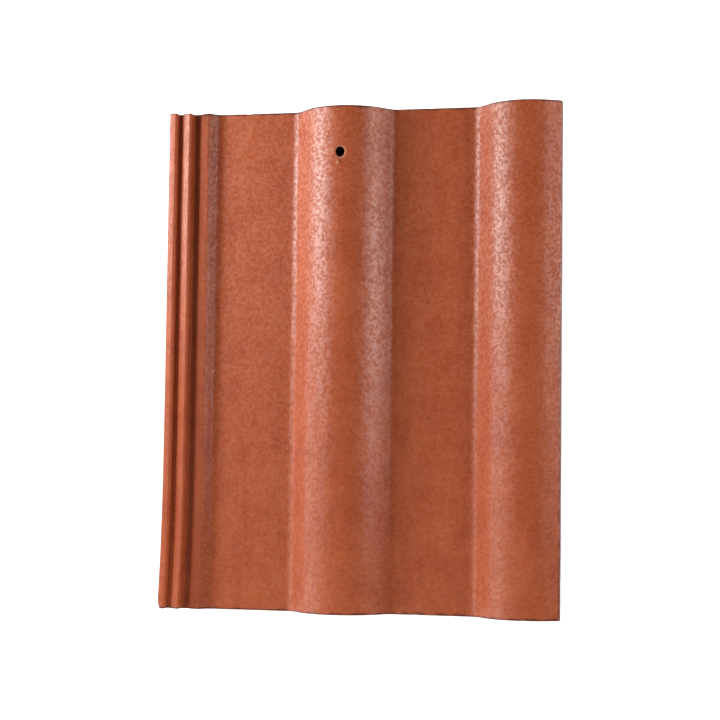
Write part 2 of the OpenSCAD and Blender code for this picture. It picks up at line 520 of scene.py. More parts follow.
@dataclass(frozen=True)
class ClayFinish:
    """A fired-clay finish whose colour, grain and gloss vary over the surface.

    Lengths are in metres, and colours are linear.

    Attributes:
        mottle_share: strength of the firing's streaks and patches.
        wear_and_shade_reach: depth of the dark band along the edges, partly wear and partly painted shade.
        side_shade: strength of that band along the right edge, where it is painted shade.
        tail_share: strength of the sand's single grains at the tail.
        texture_range: levels of sand and peel that are darkest and palest.
        shade_swing: change of brightness towards those levels.
        fleck_share: strength of the pale flecks.
        pit_share: depth of the pits as a share of the grain's depth.
        gloss_range: levels of the grain that are roughest and smoothest.
        glaze: strength of the gloss on the sand that stands out, where 0 is none.
        sunk_glaze: strength of the gloss on the other sand.
        glaze_range: levels of the sand with the sunk and the full gloss.
    """

    name: str
    body: Colour
    dark: Colour
    light: Colour
    pit: Colour
    fleck: Colour
    # Colour of wear and chips, also used for the painted shade along the edges
    worn: Colour
    smooth_roughness: float
    rough_roughness: float
    sand_size: float
    grain_size: float
    grain_depth: float
    peel_size: float
    peel_depth: float
    streak_width: float
    streak_length: float
    mottle_share: float
    wear_and_shade_reach: float
    side_shade: float = 0.65
    tail_share: float = 1.0
    texture_range: Range = (0.2, 0.8)
    shade_swing: float = 0.09
    fleck_share: float = 0.6
    pit_share: float = 0.4
    gloss_range: Range = (0.35, 0.65)
    specular_level: float = 0.5
    glaze: float = 0.0
    sunk_glaze: float = 0.12
    glaze_range: Range = (0.25, 0.75)
    glaze_roughness: float = 0.43
    glaze_ior: float = 1.6

    def build(self, effects: SurfaceEffects, half_width: float, half_length: float) -> bpy.types.Material:
        """Makes the material.

        Args:
            effects: node groups that the finishes share.
            half_width: half of the tile's width.
            half_length: half of the tile's length.

        Returns:
            The material.
        """
        material = bpy.data.materials.new(self.name)
        material.use_nodes = True
        writer = TreeWriter(material.node_tree)
        shader = material.node_tree.nodes["Principled BSDF"]
        place = writer.add("ShaderNodeTexCoord").outputs["Object"]
        sand = {
            "Sand Size": self.sand_size,
            "Grain Size": self.grain_size,
            "Peel Size": self.peel_size,
            "Half Length": half_length,
            "Tail Share": self.tail_share,
        }
        firing = {"Streak Width": self.streak_width, "Streak Length": self.streak_length}
        edges = {
            "Half Width": half_width,
            "Half Length": half_length,
            "Reach": self.wear_and_shade_reach,
            "Side Share": self.side_shade,
        }
        grain, mottle, wear_and_shade = (
            self.add_group(writer, tree, {"Vector": place, **values})
            for tree, values in ((effects.grain, sand), (effects.mottle, firing), (effects.wear_and_shade, edges))
        )
        chip = writer.add("ShaderNodeAttribute", attribute_name=CHIP).outputs["Fac"]
        # Wear and painted shade along the edges, joined with the chips
        bare_and_shaded = writer.math("MAXIMUM", wear_and_shade["Wear"], chip, clamp=True)
        writer.feed(shader.inputs["Base Color"], self.paint(writer, grain, mottle, bare_and_shaded))
        gloss = writer.ease(grain["Grain"], *self.gloss_range, self.rough_roughness, self.smooth_roughness)
        writer.feed(shader.inputs["Roughness"], gloss)
        writer.feed(shader.inputs["Specular IOR Level"], self.specular_level)
        if self.glaze > 0.0:
            glazed = writer.ease(grain["Sand"], *self.glaze_range, self.sunk_glaze, self.glaze)
            kept = writer.math("MULTIPLY", glazed, writer.math("SUBTRACT", 1.0, bare_and_shaded))
            writer.feed(shader.inputs["Coat Weight"], kept)
            writer.feed(shader.inputs["Coat Roughness"], self.glaze_roughness)
            writer.feed(shader.inputs["Coat IOR"], self.glaze_ior)
        pits = writer.math("MULTIPLY", grain["Pits"], self.pit_share)
        layers = (
            (writer.math("SUBTRACT", grain["Grain"], pits), self.grain_depth),
            (grain["Peel"], self.peel_depth),
        )
        height = writer.math("ADD", *(writer.math("MULTIPLY", layer, depth) for layer, depth in layers))
        bump = writer.add("ShaderNodeBump", {"Strength": 1.0, "Distance": 1.0, "Height": height})
        writer.feed(shader.inputs["Normal"], bump.outputs["Normal"])
        return material

    @staticmethod
    def add_group(writer: TreeWriter, tree: bpy.types.NodeTree, inputs: Mapping[str, Any]) -> Any:
        """Adds a node group and gives its outputs by name."""
        return writer.add("ShaderNodeGroup", inputs, node_tree=tree).outputs

    def paint(self, writer: TreeWriter, grain: Any, mottle: Any, bare_and_shaded: Socket) -> Socket:
        """Lays the colours over each other.

        Args:
            writer: writer of the material's tree.
            grain: outputs of the sandy grain, by name.
            mottle: outputs of the kiln mottle, by name.
            bare_and_shaded: socket of the worn and broken places, and of the painted shade along the edges.

        Returns:
            Socket of the colour.
        """
        streaks, patches = (
            writer.math("MULTIPLY", mottle[label], self.mottle_share) for label in ("Streaks", "Patches")
        )
        colour = writer.blend(streaks, self.body, self.dark)
        colour = writer.blend(patches, colour, self.light)
        texture = writer.math("MULTIPLY", writer.math("ADD", grain["Sand"], grain["Peel"]), 0.5)
        darkest, palest = 1 - self.shade_swing, 1 + self.shade_swing
        shade = writer.ease(texture, *self.texture_range, darkest, palest)
        colour = writer.blend(1.0, colour, writer.join(shade, shade, shade), "MULTIPLY")
        colour = writer.blend(grain["Pits"], colour, self.pit)
        colour = writer.blend(writer.math("MULTIPLY", grain["Flecks"], self.fleck_share), colour, self.fleck)
        # Painted shade along the edges, with wear and chips, in the worn colour
        return writer.blend(bare_and_shaded, colour, self.worn)


class Finish(Enum):
    """The finishes on the one fired piece."""

    COAT = ClayFinish(
        name="sandy_coat",
        body=srgb(183, 87, 48),
        dark=srgb(167, 74, 40),
        light=srgb(193, 98, 57),
        pit=srgb(72, 34, 24),
        fleck=srgb(222, 160, 130),
        worn=srgb(48, 24, 20),
        smooth_roughness=0.32,
        rough_roughness=0.56,
        sand_size=0.0019,
        grain_size=0.0027,
        grain_depth=0.00025,
        peel_size=0.0045,
        peel_depth=0.0002,
        streak_width=0.006,
        streak_length=0.03,
        mottle_share=0.6,
        wear_and_shade_reach=0.0019,
        tail_share=0.45,
        specular_level=0.3,
        glaze=0.9,
    )
    RIBS = replace(COAT, name="rib_clay", glaze=0.3)
    # Painted shade: darker clay in the inner groove and on the rib beside it, also rougher and without glaze
    LAP = replace(
        COAT,
        name="lap_clay",
        body=srgb(149, 70, 40),
        dark=srgb(136, 60, 34),
        light=srgb(159, 80, 48),
        pit=srgb(60, 28, 20),
        fleck=srgb(176, 118, 94),
        worn=srgb(40, 20, 17),
        smooth_roughness=0.6,
        rough_roughness=0.8,
        grain_depth=0.0003,
        peel_depth=0.0003,
        specular_level=0.2,
        glaze=0.0,
    )
    RAW = ClayFinish(
        name="raw_clay",
        body=srgb(186, 106, 74),
        dark=srgb(165, 86, 58),
        light=srgb(203, 128, 94),
        pit=srgb(92, 48, 34),
        fleck=srgb(222, 172, 142),
        worn=srgb(120, 62, 44),
        smooth_roughness=0.68,
        rough_roughness=0.85,
        sand_size=0.0014,
        grain_size=0.0014,
        grain_depth=0.00014,
        peel_size=0.005,
        peel_depth=0.0003,
        streak_width=0.004,
        streak_length=0.05,
        mottle_share=0.8,
        wear_and_shade_reach=0.0008,
    )
    CUT = ClayFinish(
        name="cut_clay",
        body=srgb(170, 88, 60),
        dark=srgb(142, 68, 46),
        light=srgb(192, 112, 80),
        pit=srgb(70, 34, 24),
        fleck=srgb(216, 160, 130),
        worn=srgb(150, 76, 52),
        smooth_roughness=0.7,
        rough_roughness=0.88,
        sand_size=0.0016,
        grain_size=0.0016,
        grain_depth=0.0003,
        peel_size=0.004,
        peel_depth=0.0008,
        streak_width=0.008,
        streak_length=0.02,
        mottle_share=0.9,
        wear_and_shade_reach=0.0001,
    )
    # Painted shade: near-black clay on the nail hole's wall
    PUNCHED = replace(
        RAW,
        name="punched_clay",
        body=srgb(58, 30, 22),
        dark=srgb(44, 22, 17),
        light=srgb(74, 40, 30),
        pit=srgb(28, 16, 12),
        fleck=srgb(96, 58, 44),
        worn=srgb(58, 30, 22),
        smooth_roughness=0.75,
        rough_roughness=0.9,
        grain_depth=0.0002,
        peel_size=0.004,
        streak_length=0.01,
        wear_and_shade_reach=0.0001,
    )


@dataclass
class TileSection:
    """The tile's section, read from the tail face of the frame's node.

    Attributes:
        node: CAD object whose tail face gives the outline.
        groove: place x at which the inner groove of the underlock starts.
        weather_step: longest straight stretch on the weather side, in metres.
        hidden_step: longest straight stretch on the underside, in metres.
        same_place: distance below which two places count as one, in metres.
        rib_search: distances from the groove's start between which its rib is looked for, in metres.
        height_reach: distance to either side within which a height is looked for, in metres.
    """

    node: bpy.types.Object
    groove: float
    weather_step: float = 0.003
    hidden_step: float = 0.005
    same_place: float = 1e-5
    rib_search: tuple[float, float] = (0.002, 0.025)
    height_reach: float = 0.01

    def __post_init__(self) -> None:
        """Reads the outline and splits it at the lower ends of its two outer edges."""
        loop = self.read_outline()
        left, right = loop[:, 0].min(), loop[:, 0].max()
        first = self.lowest(loop, left)
        loop = np.roll(loop, -first, axis=0)
        last = self.lowest(loop, right)
        self.weather_side = loop[: last + 1]
        self.hidden_side = np.vstack([loop[last:], loop[:1]])

    def read_outline(self) -> np.ndarray:
        """Walks round the rim of the node's tail face.

        Returns:
            Places x and z of the rim's corners, from the left edge over the top to the right and back below.
        """
        shell = bmesh.new()
        shell.from_mesh(self.node.data)
        bmesh.ops.remove_doubles(shell, verts=shell.verts, dist=self.same_place)
        tail = min(v.co.y for v in shell.verts) + self.same_place
        face_edges = [e for f in shell.faces if all(v.co.y < tail for v in f.verts) for e in f.edges]
        rim = [e for e in set(face_edges) if face_edges.count(e) == 1]
        beside: dict[Any, list[Any]] = {}
        for edge in rim:
            for here, there in (edge.verts, reversed(edge.verts)):
                beside.setdefault(here, []).append(there)
        walk = [rim[0].verts[0]]
        walk.append(beside[walk[0]][0])
        while walk[-1] is not walk[0]:
            walk.append(next(v for v in beside[walk[-1]] if v is not walk[-2]))
        loop = np.array([(v.co.x, v.co.z) for v in walk[:-1]])
        shell.free()
        ahead = np.roll(loop, -1, axis=0)
        turns_left = np.sum(loop[:, 0] * ahead[:, 1] - ahead[:, 0] * loop[:, 1]) > 0
        return loop[::-1] if turns_left else loop

    def lowest(self, loop: np.ndarray, edge: float) -> int:
        """Finds the lowest corner of an upright outer edge.

        Args:
            loop: places x and z of the corners.
            edge: place x of the outer edge.

        Returns:
            Number of the corner.
        """
        on_edge = np.flatnonzero(np.abs(loop[:, 0] - edge) < self.same_place)
        return int(on_edge[np.argmin(loop[on_edge, 1])])

    @staticmethod
    def resample(chain: np.ndarray, longest: float) -> np.ndarray:
        """Splits a chain's long stretches into equal parts.

        Args:
            chain: places x and z along the chain.
            longest: longest stretch that stays.

        Returns:
            Places along the chain, without its last one.
        """
        parts = []
        for start, end in zip(chain[:-1], chain[1:]):
            count = max(1, math.ceil(np.linalg.norm(end - start) / longest))
            parts.append(start + (end - start) * (np.arange(count) / count)[:, None])
        return np.vstack(parts)

    def build(self) -> bpy.types.Object:
        """Makes the closed section, flat for the sweep, with the attributes that the sweep carries on.

        Returns:
            Object of the section: its x is the tile's x, and its y is the tile's z turned over.
        """
        weather = self.resample(self.weather_side, self.weather_step)
        hidden = self.resample(self.hidden_side, self.hidden_step)
        loop = np.vstack([weather, hidden])
        count = len(loop)
        flat = np.column_stack([loop[:, 0], -loop[:, 1], np.zeros(count)])
        obj = new_object(NODE_NAME + "_dressed", flat, [(i, (i + 1) % count) for i in range(count)])
        along = np.roll(loop, -1, axis=0) - np.roll(loop, 1, axis=0)
        along /= np.linalg.norm(along, axis=1)[:, None]
        outward = np.column_stack([-along[:, 1], np.zeros(count), along[:, 0]])
        attributes = obj.data.attributes
        attributes.new(OUTWARD, "FLOAT_VECTOR", "POINT").data.foreach_set("vector", outward.ravel())
        exposed = (np.arange(count) <= len(weather)).astype(float)
        past_groove = loop[:, 0] > self.groove
        carried = {
            WEATHER: exposed,
            # The inner groove and its rib get the darker clay of painted shade
            LAP: exposed * past_groove * (loop[:, 0] < self.rib_top() + self.same_place),
            RIBS: exposed * ~past_groove,
        }
        for name, values in carried.items():
            attributes.new(name, "FLOAT", "POINT").data.foreach_set("value", values)
        return obj

    def rib_top(self) -> float:
        """Finds the top of the rib beside the inner groove.

        Returns:
            Place x of the rib's top.
        """
        away = self.weather_side[:, 0] - self.groove
        beyond = self.weather_side[(away > self.rib_search[0]) & (away < self.rib_search[1])]
        return float(beyond[np.argmax(beyond[:, 1]), 0])

    def height_at(self, x: float) -> float:
        """Measures the height of the weather side at a place across the tile.

        Args:
            x: the place, away from the grooves and the outer edges.

        Returns:
            The height.
        """
        near = self.weather_side[np.abs(self.weather_side[:, 0] - x) < self.height_reach]
        return float(np.interp(x, near[:, 0], near[:, 1]))

    def underside(self, start: float, end: float) -> np.ndarray:
        """Cuts the underside's line between two places across the tile.

        Args:
            start: place x of the line's start.
            end: place x of the line's end.

        Returns:
            Places x, y and z along the line, with y at the middle of the tile.
        """
        chain = self.resample(self.hidden_side[::-1], self.hidden_step)
        inside = chain[(chain[:, 0] > start) & (chain[:, 0] < end)]
        ends = [(x, float(np.interp(x, inside[:, 0], inside[:, 1]))) for x in (start, end)]
        line = np.vstack([ends[0], inside, ends[1]])
        return np.column_stack([line[:, 0], np.zeros(len(line)), line[:, 1]])


@dataclass
class TileBody:
    """The swept clay body with its relief, rounded arrises, chips and slight firing warp, in metres.

    Attributes:
        length: length of the sweep.
        left_edge: place x of the left edge.
        rows: number of sections along the sweep.
        end_crowding: closeness of the rows at both ends, where 0 is even and 1 is closest.
        relief_slack: fineness of the relief along the tile, as a share of that across it.
        relief_gain: factor that brings most of the relief's noise to its depth.
        chip_levels: levels of the noise at which a chip starts and is full.
        chip_reach: length of a chip along the tile, in chip sizes.
        chip_slant: distance by which a chip moves inwards, in chip depths.
        warp: sideways pull of the left tail corner.
        warp_range: places x at which the warp starts and is full.
        warp_power: steepness of the warp towards the tail.
        corner_depth: distance by which the left tail corner is worn away.
        corner_width: reach of that wear across the tile.
        corner_length: reach of that wear along the tile.
    """

    length: float
    left_edge: float
    rows: int = 170
    end_crowding: float = 0.86
    arris_radius: float = 0.0009
    relief_depth: float = 0.00012
    relief_size: float = 0.014
    relief_slack: float = 0.4
    relief_gain: float = 4.0
    chip_depth: float = 0.0012
    chip_size: float = 0.009
    chip_levels: Range = (0.6, 0.74)
    chip_reach: float = 0.35
    chip_slant: float = 0.6
    warp: float = 0.003
    warp_range: Range = (-0.09, -0.14)
    warp_power: float = 4.0
    corner_depth: float = 0.0022
    corner_width: float = 0.0066
    corner_length: float = 0.009

    def build(self, section: bpy.types.Object, clay: bpy.types.Material) -> None:
        """Puts the sweep on the section's object.

        Args:
            section: object of the closed section.
            clay: material of the plain body.
        """
        sizes = {
            "Length": self.length,
            "Left Edge": self.left_edge,
            "Rows": self.rows,
            "End Crowding": self.end_crowding,
            "Arris Radius": self.arris_radius,
            "Relief Depth": self.relief_depth,
            "Relief Size": self.relief_size,
            "Relief Seed": Seed.RELIEF.value,
            "Chip Depth": self.chip_depth,
            "Chip Size": self.chip_size,
            "Chip Seed": Seed.CHIPS.value,
            "Warp": self.warp,
            "Corner Depth": self.corner_depth,
            "Corner Width": self.corner_width,
            "Corner Length": self.corner_length,
        }
        writer, inputs, outputs = new_tree(
            "swept_body",
            TreeKind.GEOMETRY,
            {"Section": SocketKind.GEOMETRY, **number_kinds(sizes), "Clay": SocketKind.MATERIAL},
            {"Body": SocketKind.GEOMETRY},
        )
        body = self.shape_surface(writer, inputs, self.sweep(writer, inputs))
        end_tree(writer, body, inputs["Clay"], outputs["Body"])
        add_modifier(section, writer.tree, {**sizes, "Clay": clay})

    @staticmethod
    def sweep(writer: TreeWriter, inputs: Any) -> Socket:
        """Sweeps the section from the tail to the head, with its rows closer together towards both ends.

        Args:
            writer: writer of the tree.
            inputs: the tree's inputs by name.

        Returns:
            Socket of the closed body.
        """
        half = writer.math("MULTIPLY", inputs["Length"], 0.5)
        tail = writer.join(0.0, writer.math("MULTIPLY", half, -1.0), 0.0)
        ends = {"Start": tail, "End": writer.join(0.0, half, 0.0)}
        line = writer.add("GeometryNodeCurvePrimitiveLine", ends)
        rail = writer.add("GeometryNodeResampleCurve", {"Curve": line.outputs[0], "Count": inputs["Rows"]})
        share = writer.add("GeometryNodeSplineParameter").outputs["Factor"]
        full_turn = 2 * math.pi
        swing = writer.math("SINE", writer.math("MULTIPLY", share, full_turn))
        pull = writer.math("MULTIPLY", swing, writer.math("DIVIDE", inputs["End Crowding"], full_turn))
        crowded = writer.math("SUBTRACT", writer.math("SUBTRACT", share, pull), 0.5)
        place = writer.join(0.0, writer.math("MULTIPLY", crowded, inputs["Length"]), 0.0)
        rail = writer.add("GeometryNodeSetPosition", {"Geometry": rail.outputs[0], "Position": place})
        rail = writer.add("GeometryNodeSetCurveNormal", {"Curve": rail.outputs[0]}, mode="Z_UP")
        profile = writer.add("GeometryNodeMeshToCurve", {"Mesh": inputs["Section"]})
        sweep = {"Curve": rail.outputs[0], "Profile Curve": profile.outputs[0], "Fill Caps": True}
        return writer.add("GeometryNodeCurveToMesh", sweep).outputs[0]

    def shape_surface(self, writer: TreeWriter, inputs: Any, body: Socket) -> Socket:
        """Moves the swept points for the relief, the arrises, the chips, the warp and the worn corner.

        Args:
            writer: writer of the tree.
            inputs: the tree's inputs by name.
            body: socket of the swept body.

        Returns:
            Socket of the shaped body.
        """
        place = writer.add("GeometryNodeInputPosition").outputs[0]
        x, y, _ = writer.split(place)
        half = writer.math("MULTIPLY", inputs["Length"], 0.5)
        inside = writer.math("SUBTRACT", half, writer.math("ABSOLUTE", y))
        chip = self.chips(writer, inputs, place, inside)
        depth = writer.math("MULTIPLY", chip, inputs["Chip Depth"])
        sunk = writer.math("ADD", self.rounding(writer, inputs, inside), depth)
        lift = writer.math("SUBTRACT", self.relief(writer, inputs, place), sunk)
        shift = writer.vector("SCALE", writer.attribute(OUTWARD, "FLOAT_VECTOR"), lift)
        slant = writer.math("MULTIPLY", depth, -self.chip_slant)
        inwards = writer.math("MULTIPLY", writer.math("SIGN", y), slant)
        to_tail = writer.math("DIVIDE", writer.math("MULTIPLY", y, -1.0), half, clamp=True)
        bow = writer.math("POWER", to_tail, self.warp_power)
        bow = writer.math("MULTIPLY", bow, writer.ease(x, *self.warp_range))
        pulled = writer.math("MULTIPLY", inputs["Warp"], bow)
        sideways = writer.math("SUBTRACT", self.worn_corner(writer, inputs, place, inside), pulled)
        shift = writer.vector("ADD", shift, writer.join(sideways, inwards, 0.0))
        moved = writer.add("GeometryNodeSetPosition", {"Geometry": body, "Offset": shift}).outputs[0]
        marks = {"Geometry": moved, "Name": CHIP, "Value": chip}
        marked = writer.add("GeometryNodeStoreNamedAttribute", marks, data_type="FLOAT", domain="POINT")
        return marked.outputs[0]

    def relief(self, writer: TreeWriter, inputs: Any, place: Socket) -> Socket:
        """Makes the gentle waves of the surface, which are longer along the tile.

        Args:
            writer: writer of the tree.
            inputs: the tree's inputs by name.
            place: socket of the place.

        Returns:
            Socket of the height.
        """
        finer = writer.math("DIVIDE", 1.0, inputs["Relief Size"])
        along = writer.math("MULTIPLY", finer, self.relief_slack)
        stretched = writer.vector("MULTIPLY", place, writer.join(finer, along, finer))
        waves = writer.math("SUBTRACT", writer.noise(stretched, inputs["Relief Seed"]), MEAN_LEVEL)
        depth = writer.math("MULTIPLY", inputs["Relief Depth"], self.relief_gain)
        return writer.math("MULTIPLY", waves, depth)

    @staticmethod
    def rounding(writer: TreeWriter, inputs: Any, inside: Socket) -> Socket:
        """Rounds the arrises of both ends.

        Args:
            writer: writer of the tree.
            inputs: the tree's inputs by name.
            inside: socket of the distance from the nearer end.

        Returns:
            Socket of the depth that is taken away.
        """
        share = writer.math("DIVIDE", inside, inputs["Arris Radius"])
        outer = writer.math("SUBTRACT", 1.0, share, clamp=True)
        drop = writer.math("SQRT", writer.math("SUBTRACT", 1.0, writer.math("MULTIPLY", outer, outer)))
        return writer.math("MULTIPLY", inputs["Arris Radius"], writer.math("SUBTRACT", 1.0, drop))

    def chips(self, writer: TreeWriter, inputs: Any, place: Socket, inside: Socket) -> Socket:
        """Breaks small chips out of both ends.

        Args:
            writer: writer of the tree.
            inputs: the tree's inputs by name.
            place: socket of the place.
            inside: socket of the distance from the nearer end.

        Returns:
            Socket of the share that is broken away.
        """
        broken = writer.vector("SCALE", place, writer.math("DIVIDE", 1.0, inputs["Chip Size"]))
        clouds = writer.noise(broken, inputs["Chip Seed"], detail=3.0, roughness=0.6)
        reach = writer.math("MULTIPLY", inputs["Chip Size"], self.chip_reach)
        near = writer.ease(inside, 0.0, reach, 1.0, 0.0)
        return writer.math("MULTIPLY", writer.ease(clouds, *self.chip_levels), near)

    @staticmethod
    def worn_corner(writer: TreeWriter, inputs: Any, place: Socket, inside: Socket) -> Socket:
        """Wears the left tail corner round.

        Args:
            writer: writer of the tree.
            inputs: the tree's inputs by name.
            place: socket of the place.
            inside: socket of the distance from the nearer end.

        Returns:
            Socket of the shift to the right.
        """
        x, y, _ = writer.split(place)
        share = writer.math("DIVIDE", inside, inputs["Corner Length"])
        near = writer.math("SUBTRACT", 1.0, share, clamp=True)
        near = writer.math("MULTIPLY", near, writer.math("LESS_THAN", y, 0.0))
        worn = writer.math("MULTIPLY", writer.math("MULTIPLY", near, near), inputs["Corner Depth"])
        rim_end = writer.math("ADD", inputs["Left Edge"], inputs["Corner Width"])
        return writer.math("MULTIPLY", worn, writer.ease(x, rim_end, inputs["Left Edge"]))


@dataclass
class HangingNibs:
    """The two nibs under the head that hook over the batten, in metres.

    Attributes:
        left: place x of the left nib's middle.
        right: place x of the right nib's middle.
        face: place y of the face that hooks over the batten.
        root_level: height of the underside from which the nibs hang.
        back_angle: slope of the back, in radians from upright.
        embed: depth by which a nib reaches into the body.
        turn_steps: number of straight steps in a quarter turn.
    """

    left: float
    right: float
    face: float
    root_level: float
    width: float = 0.036
    length: float = 0.028
    back_angle: float = math.radians(35)
    edge_radius: float = 0.003
    root_radius: float = 0.003
    corner_radius: float = 0.004
    embed: float = 0.005
    turn_steps: int = 4

    def quarter_turn(self) -> list[float]:
        """Lists the angles of a quarter turn, in degrees from 0 to 90."""
        return [90 * step / self.turn_steps for step in range(self.turn_steps + 1)]

    def stations(self) -> list[tuple[float, float]]:
        """Lists the nib's heights from its foot up into the body.

        Returns:
            Pairs of a height and the distance by which the outline there stands out from the plain nib.
        """
        turns = [math.radians(angle) for angle in self.quarter_turn()]
        foot = [
            (self.edge_radius * (1 - math.sin(a)), -self.edge_radius * (1 - math.cos(a)))
            for a in reversed(turns)
        ]
        root = [
            (self.root_level - self.root_radius * (1 - math.sin(a)), self.root_radius * (1 - math.cos(a)))
            for a in turns
        ]
        return [*foot, *root, (self.root_level + self.embed, self.root_radius)]

    def outline(self, height: float, spread: float) -> list[Place]:
        """Draws the nib's rounded outline at a height.

        Args:
            height: height above the nib's foot.
            spread: distance by which the outline stands out from the plain nib.

        Returns:
            Places round the outline.
        """
        rise = min(height, self.root_level)
        back = self.face + self.length - (self.root_level - rise) * math.tan(self.back_angle)
        low, high = self.face - spread, back + spread
        side = self.width / 2 + spread
        radius = self.corner_radius
        corners = ((side, low, -90), (side, high, 0), (-side, high, 90), (-side, low, 180))
        places = []
        for x, y, first in corners:
            centre_x = x - math.copysign(radius, x)
            centre_y = y + (radius if y == low else -radius)
            for turn in self.quarter_turn():
                angle = math.radians(first + turn)
                across, along = radius * math.cos(angle), radius * math.sin(angle)
                places.append((centre_x + across, centre_y + along, height))
        return places

    def build(self, clay: bpy.types.Material) -> bpy.types.Object:
        """Lofts one nib and sets it at both places.

        Args:
            clay: material of the nibs.

        Returns:
            Object of the nibs.
        """
        loft = bmesh.new()
        rings = [[loft.verts.new(p) for p in self.outline(*station)] for station in self.stations()]
        for lower, upper in zip(rings[:-1], rings[1:]):
            for i in range(len(lower)):
                j = (i + 1) % len(lower)
                loft.faces.new((lower[i], lower[j], upper[j], upper[i]))
        loft.faces.new(list(reversed(rings[0])))
        loft.faces.new(rings[-1])
        obj = new_object("nibs", np.zeros((0, 3)), [])
        loft.to_mesh(obj.data)
        loft.free()
        kinds = {"Left": SocketKind.FLOAT, "Right": SocketKind.FLOAT, "Clay": SocketKind.MATERIAL}
        writer, inputs, outputs = new_tree(
            "nib_pair",
            TreeKind.GEOMETRY,
            {"Nib": SocketKind.GEOMETRY, **kinds},
            {"Nibs": SocketKind.GEOMETRY},
        )
        first, last = (writer.join(inputs[side], 0.0, 0.0) for side in ("Left", "Right"))
        ends = {"Count": 2, "Start Location": first, "Offset": last}
        points = writer.add("GeometryNodeMeshLine", ends, mode="END_POINTS").outputs[0]
        pair = writer.add("GeometryNodeInstanceOnPoints", {"Points": points, "Instance": inputs["Nib"]})
        end_tree(writer, pair.outputs[0], inputs["Clay"], outputs["Nibs"])
        add_modifier(obj, writer.tree, {"Left": self.left, "Right": self.right, "Clay": clay})
        return obj


@dataclass
class WeatherBars:
    """The low bars across the underside at the tail that stop driven rain, in metres.

    Attributes:
        tail: place y of the tail's end.
        setback: distance of the first bar from the tail's end.
        start: place x of the bars' left ends.
        end: place x of the bars' right ends.
        embed: depth by which a bar reaches into the body.
        root_share: width inside the body, in widths.
        foot_share: width at the foot, in widths.
        taper: length over which a bar's ends run out.
        end_scale: size of the section at a bar's very ends.
        edge_steps: number of points in each rounded edge.
    """

    tail: float
    setback: float = 0.014
    start: float = -0.122
    end: float = 0.0925
    count: int = 2
    spacing: float = 0.024
    width: float = 0.008
    height: float = 0.004
    embed: float = 0.003
    root_share: float = 1.5
    foot_share: float = 0.8
    edge_radius: float = 0.0012
    edge_steps: int = 3
    taper: float = 0.005
    end_scale: float = 0.5

    def build(self, section: TileSection, clay: bpy.types.Material) -> bpy.types.Object:
        """Sweeps one bar along the underside and repeats it.

        Args:
            section: section whose underside the bars follow.
            clay: material of the bars.

        Returns:
            Object of the bars.
        """
        line = section.underside(self.start, self.end)
        obj = new_object("bars", line, [(i, i + 1) for i in range(len(line) - 1)])
        sizes = {
            "Count": self.count,
            "First Place": self.tail + self.setback,
            "Spacing": self.spacing,
            "Width": self.width,
            "Height": self.height,
            "Embed": self.embed,
            "Edge Radius": self.edge_radius,
            "Taper": self.taper,
        }
        writer, inputs, outputs = new_tree(
            "weather_bars",
            TreeKind.GEOMETRY,
            {"Line": SocketKind.GEOMETRY, **number_kinds(sizes), "Clay": SocketKind.MATERIAL},
            {"Bars": SocketKind.GEOMETRY},
        )
        curve = writer.add("GeometryNodeMeshToCurve", {"Mesh": inputs["Line"]}).outputs[0]
        curve = writer.add("GeometryNodeSetCurveNormal", {"Curve": curve}, mode="Z_UP").outputs[0]
        along = writer.add("GeometryNodeSplineParameter").outputs["Length"]
        whole = writer.add("GeometryNodeSplineLength").outputs["Length"]
        to_end = writer.math("MINIMUM", along, writer.math("SUBTRACT", whole, along))
        scale = writer.ease(to_end, 0.0, inputs["Taper"], self.end_scale, 1.0)
        shape = self.bar_section(writer, inputs)
        swept = {"Curve": curve, "Profile Curve": shape, "Scale": scale, "Fill Caps": True}
        bar = writer.add("GeometryNodeCurveToMesh", swept).outputs[0]
        row = {
            "Count": inputs["Count"],
            "Start Location": writer.join(0.0, inputs["First Place"], 0.0),
            "Offset": writer.join(0.0, inputs["Spacing"], 0.0),
        }
        points = writer.add("GeometryNodeMeshLine", row).outputs[0]
        bars = writer.add("GeometryNodeInstanceOnPoints", {"Points": points, "Instance": bar})
        end_tree(writer, bars.outputs[0], inputs["Clay"], outputs["Bars"])
        add_modifier(obj, writer.tree, {**sizes, "Clay": clay})
        return obj

    def bar_section(self, writer: TreeWriter, inputs: Any) -> Socket:
        """Draws a bar's section, which is narrower at the foot and has rounded edges.

        Args:
            writer: writer of the tree.
            inputs: the tree's inputs by name.

        Returns:
            Socket of the section's curve.
        """
        trapezoid = {
            "Height": writer.math("ADD", inputs["Height"], inputs["Embed"]),
            "Bottom Width": writer.math("MULTIPLY", inputs["Width"], self.root_share),
            "Top Width": writer.math("MULTIPLY", inputs["Width"], self.foot_share),
            "Offset": 0.0,
        }
        shape = writer.add("GeometryNodeCurvePrimitiveQuadrilateral", trapezoid, mode="TRAPEZOID").outputs[0]
        rounded = {
            "Curve": shape,
            "Count": self.edge_steps,
            "Radius": inputs["Edge Radius"],
            "Limit Radius": True,
        }
        shape = writer.add("GeometryNodeFilletCurve", rounded, mode="POLY").outputs[0]
        middle = writer.math("MULTIPLY", writer.math("SUBTRACT", inputs["Height"], inputs["Embed"]), 0.5)
        moved = {"Geometry": shape, "Translation": writer.join(0.0, middle, 0.0)}
        return writer.add("GeometryNodeTransform", moved).outputs[0]


